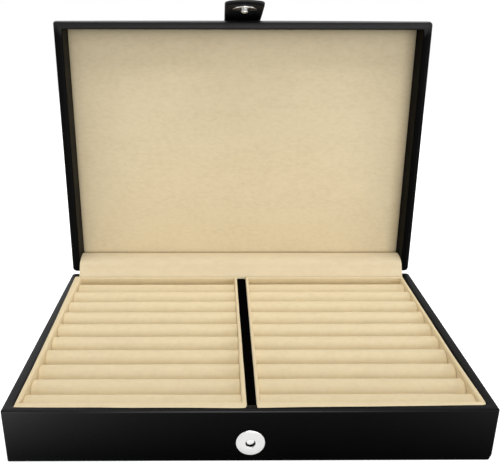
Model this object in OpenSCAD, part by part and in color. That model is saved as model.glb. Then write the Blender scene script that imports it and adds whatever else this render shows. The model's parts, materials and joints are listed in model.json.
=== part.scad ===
// Ring display box: a leatherette-covered case with a hinged lid, a strap with a magnetic snap,
// and two suede trays of ring rolls beside a centre divider.
// Millimetres, +Z up, +Y towards the hinge side. The origin is the middle of the underside.
// The lid and the strap are drawn shut, then turned to their open rest pose.

/* [Box] */
// Outside width, left to right
box_w = 300; // [240:1:400]
// Outside depth, front to back
box_d = 210.6; // [170:0.2:300]
// Height of the base, from its underside to its rim
base_h = 37.6; // [34:0.2:60]
// Height of the shut lid, from its rim to its top
lid_h = 25; // [20:0.5:45]
// Gap between the two rims when the lid is shut
rim_gap = 0.4; // [0.3:0.1:1]
// Radius of the upright outside corners
corner_r = 2; // [1:0.1:4]
// Bevel along the inner edge of both rims
rim_bevel = 1.4; // [0.6:0.1:2]

/* [Boards and coverings] */
// Thickness of the wall boards
board_t = 5; // [4:0.1:8]
// Thickness of the bottom board
bottom_t = 3; // [2:0.5:6]
// Thickness of the lid's top board
top_t = 3; // [2:0.5:6]
// Thickness of the leatherette
wrap_t = 0.5; // [0.3:0.05:0.9]
// Thickness of the felt under the base
felt_t = 0.5; // [0.3:0.1:2]
// How far the felt stays back from the outside edge
felt_inset = 1.5; // [0.5:0.5:10]
// Thickness of the black lining on the base's floor
floor_lining_t = 0.6; // [0.3:0.1:2]
// Thickness of the card behind the lid's suede
panel_card_t = 1; // [0.5:0.1:3]
// Thickness of the suede on the lid's panel
panel_suede_t = 0.5; // [0.3:0.1:2]
// Clearance round every loose insert
fit_gap = 0.3; // [0.2:0.05:0.6]

/* [Trays and ring rolls] */
// Ring rolls in each tray
roll_count = 10; // [6:1:11]
// How far the tops of the rolls lie below the rim
roll_drop = 1.8; // [1:0.1:6]
// Gap between neighbouring rolls
roll_gap = 0.3; // [0.1:0.05:1]
// How far the tops of the tray walls lie below the rim
tray_drop = 0.2; // [0:0.1:3]
// Thickness of the tray's card
tray_card_t = 1.2; // [0.8:0.1:3]
// Thickness of the suede on the tray's walls
tray_suede_t = 0.5; // [0.3:0.1:1]
// Thickness of the divider's board
divider_t = 5.4; // [3:0.1:10]
// Thickness of the divider's black suede
divider_suede_t = 0.5; // [0.3:0.1:1]
// How far the top of the divider lies below the rim
divider_drop = 3; // [1:0.5:10]

/* [Hinges] */
// How far the lid opens from shut
open_angle = 91.93; // [80:0.01:100]
// Distance of the hinge pins behind the back face
hinge_out = 1.8; // [1.7:0.1:3]
// Length of each hinge
hinge_len = 30; // [20:1:50]
// Distance from the middle of the box to the middle of each hinge
hinge_x = 90; // [40:1:100]
// Outside diameter of the knuckles
knuckle_d = 3.2; // [2.6:0.1:3.4]
// Diameter of the pins
pin_d = 1.6; // [1:0.1:1.8]
// Thickness of the leaves
leaf_t = 0.7; // [0.5:0.05:1]
// Width of the leaves on the rim
leaf_w = 4.4; // [4:0.1:4.6]
// Clearance between the knuckles, along the pin
knuckle_gap = 0.2; // [0.15:0.05:0.5]
// Clearance of the pin in the lid's knuckle
pin_run = 0.05; // [0.02:0.01:0.1]
// Diameter of the screws' shanks
screw_d = 1.6; // [1.2:0.1:2]
// Diameter of the screws' heads
screw_head_d = 2.8; // [2.4:0.1:3.2]
// Length of the screws
screw_len = 8; // [5:0.5:12]
// Distance of each screw from the middle of its leaf
screw_x = 9; // [5:0.5:12]
// Thickness of the suede strip over the hinges
strip_t = 0.8; // [0.5:0.1:1.2]
// How deep the strip is tucked behind the trays
strip_tuck = 12; // [6:1:25]
// Height of the strip over the back wall of the open lid
strip_rise = 3; // [2:0.1:5]

/* [Strap and snap] */
// Width of the strap
strap_w = 30; // [22:1:40]
// Thickness of the strap's outer leather
strap_outer_t = 1.6; // [1:0.1:2.5]
// Thickness of the strap's inner leather
strap_inner_t = 1.4; // [1:0.1:2.5]
// Length of the strap's flap, from its bend to its tip
flap_len = 63; // [61:0.5:64]
// Length of the strap glued to the top of the lid
anchor_len = 28; // [15:1:60]
// Radius of the strap's corners
strap_corner_r = 5; // [2:0.5:8]
// Radius of the strap's bowed ends
strap_bow_r = 36; // [24:1:80]
// How far the open strap stands up from its snapped position
strap_lift = 7.4; // [4:0.1:20]
// Height of the middle of the snap
snap_z = 14.2; // [12:0.1:18]
// Diameter of the snap's two discs
snap_d = 18; // [14:0.5:20]
// Height of the socket's cap at its middle
cap_t = 1.6; // [1.4:0.1:2.5]
// Height of the socket's cap at its edge
cap_edge_t = 0.8; // [0.4:0.1:1]
// Diameter of the socket's hole
socket_d = 6; // [5.6:0.1:7]
// Diameter of the ring magnet
magnet_d = 15; // [10:0.5:16]
// Thickness of the ring magnet
magnet_t = 2.2; // [1.5:0.1:2.6]
// Thickness of the stud's disc
stud_plate_t = 0.9; // [0.6:0.1:1.4]
// Diameter of the stud
stud_d = 5.4; // [4:0.1:5.4]
// Length of the stud beyond its disc
stud_len = 2.2; // [1.5:0.1:2.5]

/* [Hidden] */
$fn = 64;
wall_t = board_t + 2 * wrap_t;
inner_w = box_w - 2 * wall_t;
inner_d = box_d - 2 * wall_t;
eps = 0.01;
far = 1000;

floor_z = felt_t + bottom_t + floor_lining_t;
lid_z = base_h + rim_gap;
lid_top = lid_z + lid_h;
lid_ceiling = lid_top - wrap_t - top_t;
panel_z = lid_ceiling - panel_card_t - panel_suede_t;

// The strip passes between the trays and the back wall.
strip_room = strip_t + 2 * fit_gap;
divider_w = divider_t + 2 * divider_suede_t;
tray_wall_t = tray_card_t + 2 * tray_suede_t;
tray_w = (inner_w - divider_w) / 2 - 2 * fit_gap;
tray_d = inner_d - fit_gap - strip_room;
tray_x = divider_w / 2 + fit_gap + tray_w / 2;
tray_front = -inner_d / 2 + fit_gap;
tray_top = base_h - tray_drop;
tray_floor_z = floor_z + tray_card_t;

roll_pitch = (tray_d - 2 * tray_wall_t) / roll_count;
roll_w = roll_pitch - roll_gap;
roll_len = tray_w - 2 * tray_wall_t - 2 * fit_gap;
roll_top = base_h - roll_drop;

hinge_y = box_d / 2 + hinge_out;
hinge_z = base_h + rim_gap / 2;
mortise_gap = 0.1;
screw_y = box_d / 2 - leaf_w / 2;
screw_slot_w = 0.4;
screw_slot_t = 0.3;
screw_gap = 0.05;
pin_press_gap = 0.03;

strap_t = strap_outer_t + strap_inner_t;
strap_gap = 0.3;
corner_steps = 8;
bow_steps = 12;
bend_y = -box_d / 2 - strap_gap - strap_t / 2;
bend_z = lid_top + strap_t / 2;
snap_gap = 0.3;
dome_steps = 6;
plate_back_t = 0.5;
prong_w = 3;
prong_t = 0.5;
prong_x = 5;
prong_len = 1.5;
washer_d = 13;
washer_t = 0.5;
rivet_d = 2.6;
dimple_d = 3;
dimple_t = 0.6;
stud_bevel = 0.5;

// Where the stud's disc meets the socket's cap, seen from the strap's bend.
snap_dy = -box_d / 2 - cap_t - snap_gap - bend_y;
snap_dz = snap_z - bend_z;
plate_face = strap_t / 2 + stud_plate_t;
stud_drop = sqrt(snap_dy * snap_dy + snap_dz * snap_dz - plate_face * plate_face);
snap_tilt = atan2(-stud_drop, plate_face) - atan2(snap_dz, snap_dy);

// ---- Frames ----

// Turns what is drawn on the shut lid to the open lid.
module opened() {
    translate([0, hinge_y, hinge_z]) rotate([-open_angle, 0, 0]) translate([0, -hinge_y, -hinge_z]) children();
}

// Where a point of the shut lid, as [y, z], lies on the open lid.
function opened_point(p) = [
    hinge_y + (p[0] - hinge_y) * cos(open_angle) + (p[1] - hinge_z) * sin(open_angle),
    hinge_z - (p[0] - hinge_y) * sin(open_angle) + (p[1] - hinge_z) * cos(open_angle)
];

// Turns a flap that hangs from its bend at the origin to where the open lid holds it.
module strap_swung() {
    opened() translate([0, bend_y, bend_z]) rotate([-snap_tilt - strap_lift, 0, 0]) children();
}

// ---- Walls ----

// An upright block with rounded corners.
module rounded_block(w, d, r, z0, z1) {
    translate([-w / 2, -d / 2 + r, z0]) cube([w, d - 2 * r, z1 - z0]);
    translate([-w / 2 + r, -d / 2, z0]) cube([w - 2 * r, d, z1 - z0]);
    for (x = [-1, 1], y = [-1, 1])
        translate([x * (w / 2 - r), y * (d / 2 - r), z0]) cylinder(r = r, h = z1 - z0);
}

// The side view of a hollow of width w that widens by a bevel at its rim, up to z_rim.
module hollow_profile(w, z_deep, z_rim, bevel) {
    polygon([
        [-w / 2, z_deep], [w / 2, z_deep], [w / 2, z_rim - bevel], [w / 2 + bevel + 1, z_rim + 1],
        [-w / 2 - bevel - 1, z_rim + 1], [-w / 2, z_rim - bevel]
    ]);
}

// The hollow inside four walls that are drawn a skin thinner all over.
module hollow(skin, z_deep, z_rim) {
    bevel = rim_bevel - (2 - sqrt(2)) * skin;
    intersection() {
        rotate([90, 0, 0]) linear_extrude(far, center = true)
            hollow_profile(inner_w + 2 * skin, z_deep, z_rim - skin, bevel);
        rotate([90, 0, 90]) linear_extrude(far, center = true)
            hollow_profile(inner_d + 2 * skin, z_deep, z_rim - skin, bevel);
    }
}

// The base's four walls, a skin thinner on every covered face.
module base_walls(skin) {
    difference() {
        rounded_block(box_w - 2 * skin, box_d - 2 * skin, corner_r - skin, felt_t, base_h - skin);
        hollow(skin, -1, base_h);
    }
}

// The shut lid's walls and top, a skin thinner on every covered face.
module lid_block(skin) {
    difference() {
        rounded_block(box_w - 2 * skin, box_d - 2 * skin, corner_r - skin, lid_z + skin, lid_top - skin);
        mirror([0, 0, 1]) hollow(skin, -lid_ceiling, -lid_z);
    }
}

// Keeps one wall of a ring: the front and back run full width, and the sides fit between them.
module front_part() {
    intersection() {
        children();
        translate([-far / 2, -inner_d / 2 - wrap_t - far, -far / 2]) cube(far);
    }
}

module side_part() {
    intersection() {
        children();
        translate([inner_w / 2 + wrap_t, -inner_d / 2 - wrap_t, -far / 2])
            cube([far, inner_d + 2 * wrap_t, far]);
    }
}

module below_ceiling() {
    intersection() {
        children();
        translate([-far / 2, -far / 2, lid_ceiling - far]) cube(far);
    }
}

// ---- Hinges ----

// Repeats a hinge's part at the left and the right hinge.
module at_hinges() {
    for (x = [-1, 1]) translate([x * hinge_x, 0, 0]) children();
}

// Draws a base part of the hinge on the lid's side of the shut hinge.
module on_lid_side() {
    translate([0, 0, 2 * hinge_z]) mirror([0, 0, 1]) children();
}

module pin_line(r, len) {
    translate([-len / 2, hinge_y, hinge_z]) rotate([0, 90, 0]) cylinder(r = r, h = len);
}

// One leaf with the knuckles that lie in the x spans, let into the base's rim.
module hinge_leaf(knuckles, gaps, bore_r) {
    difference() {
        union() {
            translate([-hinge_len / 2, box_d / 2 - leaf_w, base_h - leaf_t])
                cube([hinge_len, leaf_w + hinge_out, leaf_t]);
            for (s = knuckles) translate([(s[0] + s[1]) / 2, 0, 0]) pin_line(knuckle_d / 2, s[1] - s[0]);
        }
        for (s = gaps) translate([s[0], hinge_y - knuckle_d / 2 - knuckle_gap, base_h - far / 2])
            cube([s[1] - s[0], far, far]);
        pin_line(bore_r, far);
        for (x = [-1, 1]) translate([x * screw_x, screw_y, 0]) screw_shape(screw_gap);
    }
}

// A countersunk screw with its head flush with the rim, grown by a clearance.
module screw_shape(grow) {
    head_r = screw_head_d / 2 + grow;
    shank_r = screw_d / 2 + grow;
    translate([0, 0, base_h - leaf_t]) cylinder(r1 = shank_r, r2 = head_r, h = leaf_t);
    translate([0, 0, base_h]) cylinder(r = head_r, h = grow);
    translate([0, 0, base_h - screw_len - grow]) cylinder(r = shank_r, h = screw_len - leaf_t + grow + eps);
}

module hinge_screws() {
    at_hinges() for (x = [-1, 1]) translate([x * screw_x, screw_y, 0]) difference() {
        screw_shape(0);
        translate([-far / 2, -screw_slot_w / 2, base_h - screw_slot_t]) cube([far, screw_slot_w, 1]);
    }
}

// The mortises and pilot holes that the hinges need in the base's back wall.
module hinge_mortises() {
    at_hinges() {
        translate([-hinge_len / 2 - mortise_gap, box_d / 2 - leaf_w - mortise_gap, base_h - leaf_t])
            cube([hinge_len + 2 * mortise_gap, far, far]);
        for (x = [-1, 1]) translate([x * screw_x, screw_y, 0]) screw_shape(screw_gap);
    }
}

knuckle_step = hinge_len / 3;
outer_knuckles = [
    [-hinge_len / 2, -knuckle_step / 2 - knuckle_gap / 2], [knuckle_step / 2 + knuckle_gap / 2, hinge_len / 2]
];
middle_knuckle = [[-knuckle_step / 2 + knuckle_gap / 2, knuckle_step / 2 - knuckle_gap / 2]];
outer_gaps = [
    [-hinge_len / 2 - 1, -knuckle_step / 2 + knuckle_gap / 2],
    [knuckle_step / 2 - knuckle_gap / 2, hinge_len / 2 + 1]
];
middle_gap = [[-knuckle_step / 2 - knuckle_gap / 2, knuckle_step / 2 + knuckle_gap / 2]];

// ---- Hinge strip ----

// Points of a quadratic curve from a to c, pulled towards b.
function curve(a, b, c, steps) = [
    for (i = [0:steps]) let (t = i / steps) (1 - t) * (1 - t) * a + 2 * t * (1 - t) * b + t * t * c
];

// The unit normal to the left of the way from a to b.
function normal(a, b) = [a[1] - b[1], b[0] - a[0]] / norm(b - a);

// A path moved sideways by t, with mitred corners.
function moved_path(p, t) = [
    for (i = [0:len(p) - 1])
        let (
            n0 = normal(p[max(i - 1, 0)], p[max(i, 1)]),
            n1 = normal(p[min(i, len(p) - 2)], p[min(i + 1, len(p) - 1)])
        )
        p[i] + t * (n0 + n1) / (1 + n0 * n1)
];

lid_lip = opened_point([inner_d / 2, lid_z]);
lid_crease = opened_point([inner_d / 2 - strip_rise - strip_t, panel_z]);
strip_tuck_y = inner_d / 2 - fit_gap;
strip_under = concat(
    [[strip_tuck_y, base_h - strip_tuck]],
    curve([strip_tuck_y, base_h - rim_bevel], [strip_tuck_y + 1, base_h + 1],
          [inner_d / 2 + wall_t - 2, base_h + 2], 4),
    curve([lid_lip[0] - 1.6, lid_lip[1] - 2], [lid_lip[0] - 0.8, lid_lip[1] + strip_rise - 0.6],
          [lid_lip[0] + 6, lid_lip[1] + strip_rise], 4),
    [lid_crease - [fit_gap, 0]]
);

// ---- Strap ----

// Points on an arc about c, from angle a0 to a1.
function arc(c, r, a0, a1, steps) = [
    for (i = [0:steps]) let (a = a0 + (a1 - a0) * i / steps) c + r * [cos(a), sin(a)]
];

// The strap's outline, from a straight edge at the origin down to its bowed tip at -len.
module strap_outline(len) {
    corner_x = strap_w / 2 - strap_corner_r;
    corner_z = sqrt(pow(strap_bow_r - strap_corner_r, 2) - corner_x * corner_x);
    bow_z = -len + strap_bow_r;
    bow_a = atan2(corner_x, corner_z);
    polygon(concat(
        [[-strap_w / 2, 0], [strap_w / 2, 0]],
        arc([corner_x, bow_z - corner_z], strap_corner_r, 0, -90 + bow_a, corner_steps),
        arc([0, bow_z], strap_bow_r, -90 + bow_a - bow_a / bow_steps, -90 - bow_a + bow_a / bow_steps, bow_steps),
        arc([-corner_x, bow_z - corner_z], strap_corner_r, -90 - bow_a, -180, corner_steps)
    ));
}

// A slice of the hanging flap between two depths of its thickness, with its half of the bend.
module flap_layer(y0, y1) {
    intersection() {
        union() {
            translate([0, strap_t / 2, 0]) rotate([90, 0, 0]) linear_extrude(strap_t) strap_outline(flap_len);
            translate([-strap_w / 2, 0, 0]) rotate([0, 90, 0]) cylinder(r = strap_t / 2, h = strap_w);
        }
        translate([-far / 2, y0, -far / 2]) cube([far, y1 - y0, far]);
    }
}

// A layer of the strap glued on the top of the shut lid.
module anchor_layer(z0, z1) {
    opened() translate([0, -box_d / 2, lid_top + z0]) mirror([0, 1, 0])
        linear_extrude(z1 - z0) strap_outline(anchor_len);
}

// Puts what is drawn about the snap's axis, pointing out of the inner face, on the flap.
module on_flap(y) {
    strap_swung() translate([0, y, -stud_drop]) rotate([-90, 0, 0]) children();
}

// Puts what is drawn about the snap's axis, pointing out of the front face, on the base.
module on_front(out) {
    translate([0, -box_d / 2 - out, snap_z]) rotate([90, 0, 0]) children();
}

module prongs(grow, len) {
    for (x = [-1, 1]) translate([x * prong_x - prong_t / 2 - grow, -prong_w / 2 - grow, -len])
        cube([prong_t + 2 * grow, prong_w + 2 * grow, len]);
}

// The pocket in the front wall for the magnet and the plate behind it.
module socket_pocket(skin) {
    on_front(1 - skin) translate([0, 0, -1 - magnet_t - plate_back_t + skin])
        cylinder(d = magnet_d + 2 * mortise_gap, h = far);
    on_front(-magnet_t - plate_back_t) prongs(mortise_gap, prong_len + mortise_gap);
}

// ---- The base's pieces ----

module base_felt() {
    color("#1a1a1a") rounded_block(box_w - 2 * felt_inset, box_d - 2 * felt_inset, corner_r, 0, felt_t);
}

module base_bottom_board() {
    color("#8a6f4d") translate([-inner_w / 2, -inner_d / 2, felt_t]) cube([inner_w, inner_d, bottom_t]);
}

module base_front_board() {
    color("#8a6f4d") difference() {
        front_part() base_walls(wrap_t);
        socket_pocket(0);
    }
}

module base_back_board() {
    color("#8a6f4d") difference() {
        mirror([0, 1, 0]) front_part() base_walls(wrap_t);
        hinge_mortises();
    }
}

module base_side_board(side) {
    color("#8a6f4d") scale([side, 1, 1]) side_part() base_walls(wrap_t);
}

module base_leatherette() {
    color("#161717") difference() {
        base_walls(0);
        base_walls(wrap_t);
        socket_pocket(0);
        hinge_mortises();
    }
}

module base_floor_lining() {
    color("#101010") translate([-inner_w / 2, -inner_d / 2, felt_t + bottom_t])
        cube([inner_w, inner_d, floor_lining_t]);
}

// ---- Divider ----

module divider_block(w, z1) {
    translate([-w / 2, -inner_d / 2, floor_z]) cube([w, inner_d - strip_room, z1 - floor_z]);
}

module divider_board() {
    color("#8a6f4d") divider_block(divider_t, base_h - divider_drop - divider_suede_t);
}

module divider_suede() {
    color("#0c0c0c") difference() {
        divider_block(divider_w, base_h - divider_drop);
        divider_block(divider_t, base_h - divider_drop - divider_suede_t);
    }
}

// ---- Trays ----

// The walls of a tray, a skin thinner on their upright faces and tops.
module tray_walls(side, skin) {
    wall = tray_wall_t - skin;
    translate([side * tray_x - tray_w / 2, tray_front, floor_z]) difference() {
        translate([skin, skin, 0]) cube([tray_w - 2 * skin, tray_d - 2 * skin, tray_top - floor_z - skin]);
        translate([wall, wall, -1]) cube([tray_w - 2 * wall, tray_d - 2 * wall, far]);
    }
}

module tray_card(side) {
    color("#c9b48a") {
        tray_walls(side, tray_suede_t);
        translate([side * tray_x - tray_w / 2 + tray_suede_t, tray_front + tray_suede_t, floor_z])
            cube([tray_w - 2 * tray_suede_t, tray_d - 2 * tray_suede_t, tray_card_t]);
    }
}

module tray_suede(side) {
    color("#dcc9a1") difference() {
        tray_walls(side, 0);
        tray_card(side);
    }
}

// Roll i of a tray, counted from the back: a bar of foam in suede with a half-round top.
module ring_roll(side, i) {
    y = tray_front + tray_d - tray_wall_t - (i - 0.5) * roll_pitch;
    r = roll_w / 2;
    color("#e3d1ab") translate([side * tray_x - roll_len / 2, y, 0]) rotate([90, 0, 90]) linear_extrude(roll_len) {
        translate([0, roll_top - r]) circle(r = r);
        translate([-r, tray_floor_z]) square([roll_w, roll_top - r - tray_floor_z]);
    }
}

// ---- Snap socket ----

module snap_socket_cap() {
    hole_r = socket_d / 2;
    dome = [
        for (i = [0:dome_steps]) let (r = hole_r + (snap_d / 2 - hole_r) * i / dome_steps)
            [r, cap_t - (cap_t - cap_edge_t) * pow(2 * r / snap_d, 2)]
    ];
    color("#e6e6e4") on_front(0) rotate_extrude() polygon(concat([[hole_r, 0]], dome, [[snap_d / 2, 0]]));
}

module snap_magnet() {
    color("#4a4a4a") on_front(-magnet_t) difference() {
        cylinder(d = magnet_d, h = magnet_t);
        translate([0, 0, -1]) cylinder(d = socket_d, h = far);
    }
}

module snap_socket_back() {
    color("#9a9a98") on_front(-magnet_t - plate_back_t) {
        cylinder(d = magnet_d, h = plate_back_t);
        prongs(0, prong_len);
    }
}

// ---- Hinge parts ----

module base_hinge_leaves() {
    color("#a8a49a") at_hinges() hinge_leaf(outer_knuckles, middle_gap, pin_d / 2 + pin_press_gap);
}

module base_hinge_screws() {
    color("#b5b2aa") hinge_screws();
}

module hinge_pins() {
    color("#c0beb8") at_hinges() pin_line(pin_d / 2, hinge_len);
}

module lid_hinge_leaves() {
    color("#a8a49a") opened() on_lid_side() at_hinges() hinge_leaf(middle_knuckle, outer_gaps, pin_d / 2 + pin_run);
}

module lid_hinge_screws() {
    color("#b5b2aa") opened() on_lid_side() hinge_screws();
}

module hinge_strip() {
    strip_w = inner_w - 2 * fit_gap;
    outline = concat(strip_under, [for (i = [len(strip_under) - 1:-1:0]) moved_path(strip_under, strip_t)[i]]);
    color("#dcc9a1") translate([-strip_w / 2, 0, 0]) rotate([90, 0, 90]) linear_extrude(strip_w) polygon(outline);
}

// ---- The lid's pieces ----

module lid_front_board() {
    color("#8a6f4d") opened() front_part() below_ceiling() lid_block(wrap_t);
}

module lid_back_board() {
    color("#8a6f4d") opened() difference() {
        mirror([0, 1, 0]) front_part() below_ceiling() lid_block(wrap_t);
        on_lid_side() hinge_mortises();
    }
}

module lid_side_board(side) {
    color("#8a6f4d") opened() scale([side, 1, 1]) side_part() below_ceiling() lid_block(wrap_t);
}

module lid_top_board() {
    color("#8a6f4d") opened() rounded_block(box_w - 2 * wrap_t, box_d - 2 * wrap_t, corner_r - wrap_t,
        lid_ceiling, lid_top - wrap_t);
}

module lid_leatherette() {
    color("#161717") opened() difference() {
        lid_block(0);
        lid_block(wrap_t);
        on_lid_side() hinge_mortises();
    }
}

module lid_panel_layer(z0, z1) {
    w = inner_w - 2 * fit_gap;
    d = inner_d - 2 * fit_gap;
    opened() translate([-w / 2, -d / 2, z0]) cube([w, d, z1 - z0]);
}

module lid_panel_card() {
    color("#c9b48a") lid_panel_layer(panel_z + panel_suede_t, lid_ceiling);
}

module lid_panel_suede() {
    color("#d8c59c") lid_panel_layer(panel_z, panel_z + panel_suede_t);
}

// ---- Strap and stud ----

module strap_anchor_outer() {
    color("#1b1b1b") anchor_layer(strap_inner_t, strap_t);
}

module strap_anchor_inner() {
    color("#242321") anchor_layer(0, strap_inner_t);
}

module strap_flap_outer() {
    color("#1b1b1b") strap_swung() flap_layer(-strap_t / 2, -strap_t / 2 + strap_outer_t);
}

module strap_flap_inner() {
    color("#242321") difference() {
        strap_swung() flap_layer(strap_t / 2 - strap_inner_t, strap_t / 2);
        on_flap(strap_t / 2 - strap_inner_t) translate([0, 0, -1]) {
            cylinder(d = rivet_d + 2 * mortise_gap, h = far);
            cylinder(d = washer_d + 2 * mortise_gap, h = 1 + washer_t);
        }
    }
}

module snap_stud_washer() {
    color("#9a9a98") on_flap(strap_t / 2 - strap_inner_t) difference() {
        cylinder(d = washer_d, h = washer_t);
        translate([0, 0, -1]) cylinder(d = rivet_d + 2 * mortise_gap, h = far);
    }
}

module snap_stud_plate() {
    color("#dcdcda") on_flap(strap_t / 2) difference() {
        cylinder(d = snap_d, h = stud_plate_t);
        translate([0, 0, -1]) cylinder(d = rivet_d + 2 * mortise_gap, h = far);
    }
}

module snap_stud() {
    rivet_len = strap_inner_t + stud_plate_t;
    color("#dcdcda") on_flap(strap_t / 2 - strap_inner_t) {
        cylinder(d = rivet_d, h = rivet_len + eps);
        translate([0, 0, rivet_len]) rotate_extrude() difference() {
            polygon([
                [0, 0], [stud_d / 2, 0], [stud_d / 2, stud_len - stud_bevel],
                [stud_d / 2 - stud_bevel, stud_len], [0, stud_len]
            ]);
            translate([0, stud_len - dimple_t]) square([dimple_d / 2, 1]);
        }
    }
}

base_felt();
base_bottom_board();
base_front_board();
base_back_board();
base_side_board(-1);  // base_left_board
base_side_board(1);  // base_right_board
base_leatherette();
base_floor_lining();
divider_board();
divider_suede();
tray_card(-1);  // left_tray_card
tray_suede(-1);  // left_tray_suede
tray_card(1);  // right_tray_card
tray_suede(1);  // right_tray_suede
for (i = [1:roll_count]) {
    ring_roll(-1, i);
    ring_roll(1, i);
}
snap_socket_cap();
snap_magnet();
snap_socket_back();
base_hinge_leaves();
base_hinge_screws();
hinge_pins();
lid_hinge_leaves();
lid_hinge_screws();
hinge_strip();
lid_front_board();
lid_back_board();
lid_side_board(-1);  // lid_left_board
lid_side_board(1);  // lid_right_board
lid_top_board();
lid_leatherette();
lid_panel_card();
lid_panel_suede();
strap_anchor_outer();
strap_anchor_inner();
strap_flap_outer();
strap_flap_inner();
snap_stud_plate();
snap_stud();
snap_stud_washer();
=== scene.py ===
"""The looks of the ring display box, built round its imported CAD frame.

Metres, in the frame's own axes: +X right, +Y towards the hinges, +Z up.
Pieces of the lid and the strap are drawn on the shut box, then turned to the open rest pose.
"""

import json
from itertools import accumulate
from math import atan2, copysign, cos, degrees, exp, hypot, pi, radians, sin, sqrt, tan

import bmesh
import bpy
from mathutils import Euler, Matrix, Vector, noise


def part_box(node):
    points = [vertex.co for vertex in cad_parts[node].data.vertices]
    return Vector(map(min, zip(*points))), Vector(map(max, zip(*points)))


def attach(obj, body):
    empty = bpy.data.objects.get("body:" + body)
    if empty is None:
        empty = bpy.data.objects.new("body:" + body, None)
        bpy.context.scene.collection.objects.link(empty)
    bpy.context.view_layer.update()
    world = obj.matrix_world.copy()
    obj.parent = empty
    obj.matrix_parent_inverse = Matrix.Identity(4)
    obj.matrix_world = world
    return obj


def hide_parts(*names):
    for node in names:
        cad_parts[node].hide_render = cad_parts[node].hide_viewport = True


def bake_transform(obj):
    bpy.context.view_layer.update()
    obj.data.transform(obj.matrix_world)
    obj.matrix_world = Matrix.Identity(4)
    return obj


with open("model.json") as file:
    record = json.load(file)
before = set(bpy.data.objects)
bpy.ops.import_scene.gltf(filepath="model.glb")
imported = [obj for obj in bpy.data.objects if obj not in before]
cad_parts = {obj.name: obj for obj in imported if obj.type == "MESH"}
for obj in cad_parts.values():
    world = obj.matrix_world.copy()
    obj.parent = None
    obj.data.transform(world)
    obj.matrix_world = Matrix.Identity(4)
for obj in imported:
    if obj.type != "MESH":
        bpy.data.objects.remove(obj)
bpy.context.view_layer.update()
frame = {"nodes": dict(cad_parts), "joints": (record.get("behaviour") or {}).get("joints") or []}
SCENE = bpy.context.scene
MM = 0.001

# ---- Sizes and places that the frame gives ----

JOINTS = {joint["name"]: joint for joint in frame["joints"]}
HINGE = Vector(JOINTS["lid_hinge"]["pos_m"])
OPEN_ANGLE = radians(JOINTS["lid_hinge"]["range_deg"][1])
STRAP_BEND = Vector(JOINTS["strap_flex"]["pos_m"])


def mm(*values):
    """Lengths in millimetres, as metres."""
    return tuple(value * MM for value in values)


def turn_about(point, angle):
    """A turn about the line along X through point."""
    return Matrix.Translation(point) @ Matrix.Rotation(angle, 4, "X") @ Matrix.Translation(-point)


OPENED = turn_about(HINGE, -OPEN_ANGLE)
SHUT = OPENED.inverted()


def cad_points(node):
    return [v.co for v in frame["nodes"][node].data.vertices]


def shut_box(node):
    """A lid node's lowest and highest corners when the lid is shut."""
    corners = [SHUT @ point for point in cad_points(node)]
    return Vector(map(min, *corners)), Vector(map(max, *corners))


BASE_LO, BASE_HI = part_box("base_leatherette")
LID_LO, LID_HI = shut_box("lid_leatherette")
BOARD_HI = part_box("base_left_board")[1]
PANEL_LO, PANEL_HI = shut_box("lid_panel_suede")
HALF_W = BASE_HI.x
HALF_D = BASE_HI.y
WRAP_T = BASE_HI.z - BOARD_HI.z
WALL_T = HALF_W + BOARD_HI.x + WRAP_T

# ---- Sizes of the coverings ----

# Upright corners: back right, back left, front left, front right. The hinges are at the back.
BASE_CORNERS = mm(2.2, 2.4, 0.9, 1.2)
LID_CORNERS = mm(2.9, 2.9, 2.2, 3.0)
BASE_EDGE_R = 1.0 * MM  # outside edges of the leatherette
LID_EDGE_R = 1.4 * MM
RIM_CROWN = 0.2 * MM  # how far a rim's edges lie below its middle
INNER_EDGE_R = 1.0 * MM  # soft inner edge of the rims
MITRE_DEPTH = 0.2 * MM  # fold where the leatherette meets at a rim's corner
TURN_IN = 1.2 * MM  # leatherette turned in under the base
COVER_SWELL = 0.8 * MM  # the photo's sides and backs stand this far outside the CAD's
SWELL_FADE_Z = 14 * MM  # the lid's front wall swells at its rim only, clear of the strap
CORNER_STEPS = 8
LEAST_R = 0.3 * MM  # of the coverings' upright corners, inside
COVER_SHARP = 40  # degrees above which the coverings' edges are sharp


# ---- Mesh helpers ----

def shade(mesh, sharp):
    """Smooth faces, with sharp edges above an angle in degrees."""
    mesh.shade_smooth()
    if sharp:
        mesh.set_sharp_from_angle(angle=radians(sharp))


def add_object(name, data):
    obj = bpy.data.objects.new(name, data)
    SCENE.collection.objects.link(obj)
    return obj


def make_object(name, verts, faces, sharp=None):
    """A mesh object whose faces all face outwards."""
    mesh = bpy.data.meshes.new(name)
    mesh.from_pydata([tuple(v) for v in verts], [], faces)
    bm = bmesh.new()
    bm.from_mesh(mesh)
    bmesh.ops.recalc_face_normals(bm, faces=bm.faces)
    bm.to_mesh(mesh)
    bm.free()
    shade(mesh, sharp)
    return add_object(name, mesh)


def loft(name, rings, closed=False, sharp=None):
    """Skins rings of equally many points, with flat caps unless the path closes on itself."""
    count = len(rings[0])
    verts = [point for ring in rings for point in ring]
    faces = []
    for i in range(len(rings) if closed else len(rings) - 1):
        here, there = i * count, (i + 1) % len(rings) * count
        for j in range(count):
            k = (j + 1) % count
            faces.append((here + j, here + k, there + k, there + j))
    if not closed:
        faces += [tuple(range(count)), tuple(range(len(verts) - count, len(verts)))]
    return make_object(name, verts, faces, sharp)


def arc(centre, radius, start, end, steps):
    """Points on an arc in a plane, with angles in degrees."""
    return [
        (centre[0] + radius * cos(a), centre[1] + radius * sin(a))
        for a in (radians(start + (end - start) * i / steps) for i in range(steps + 1))
    ]


def line(start, end, steps):
    """Points between two ends, without the ends themselves."""
    return [
        tuple(a + (b - a) * i / steps for a, b in zip(start, end))
        for i in range(1, steps)
    ]


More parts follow.
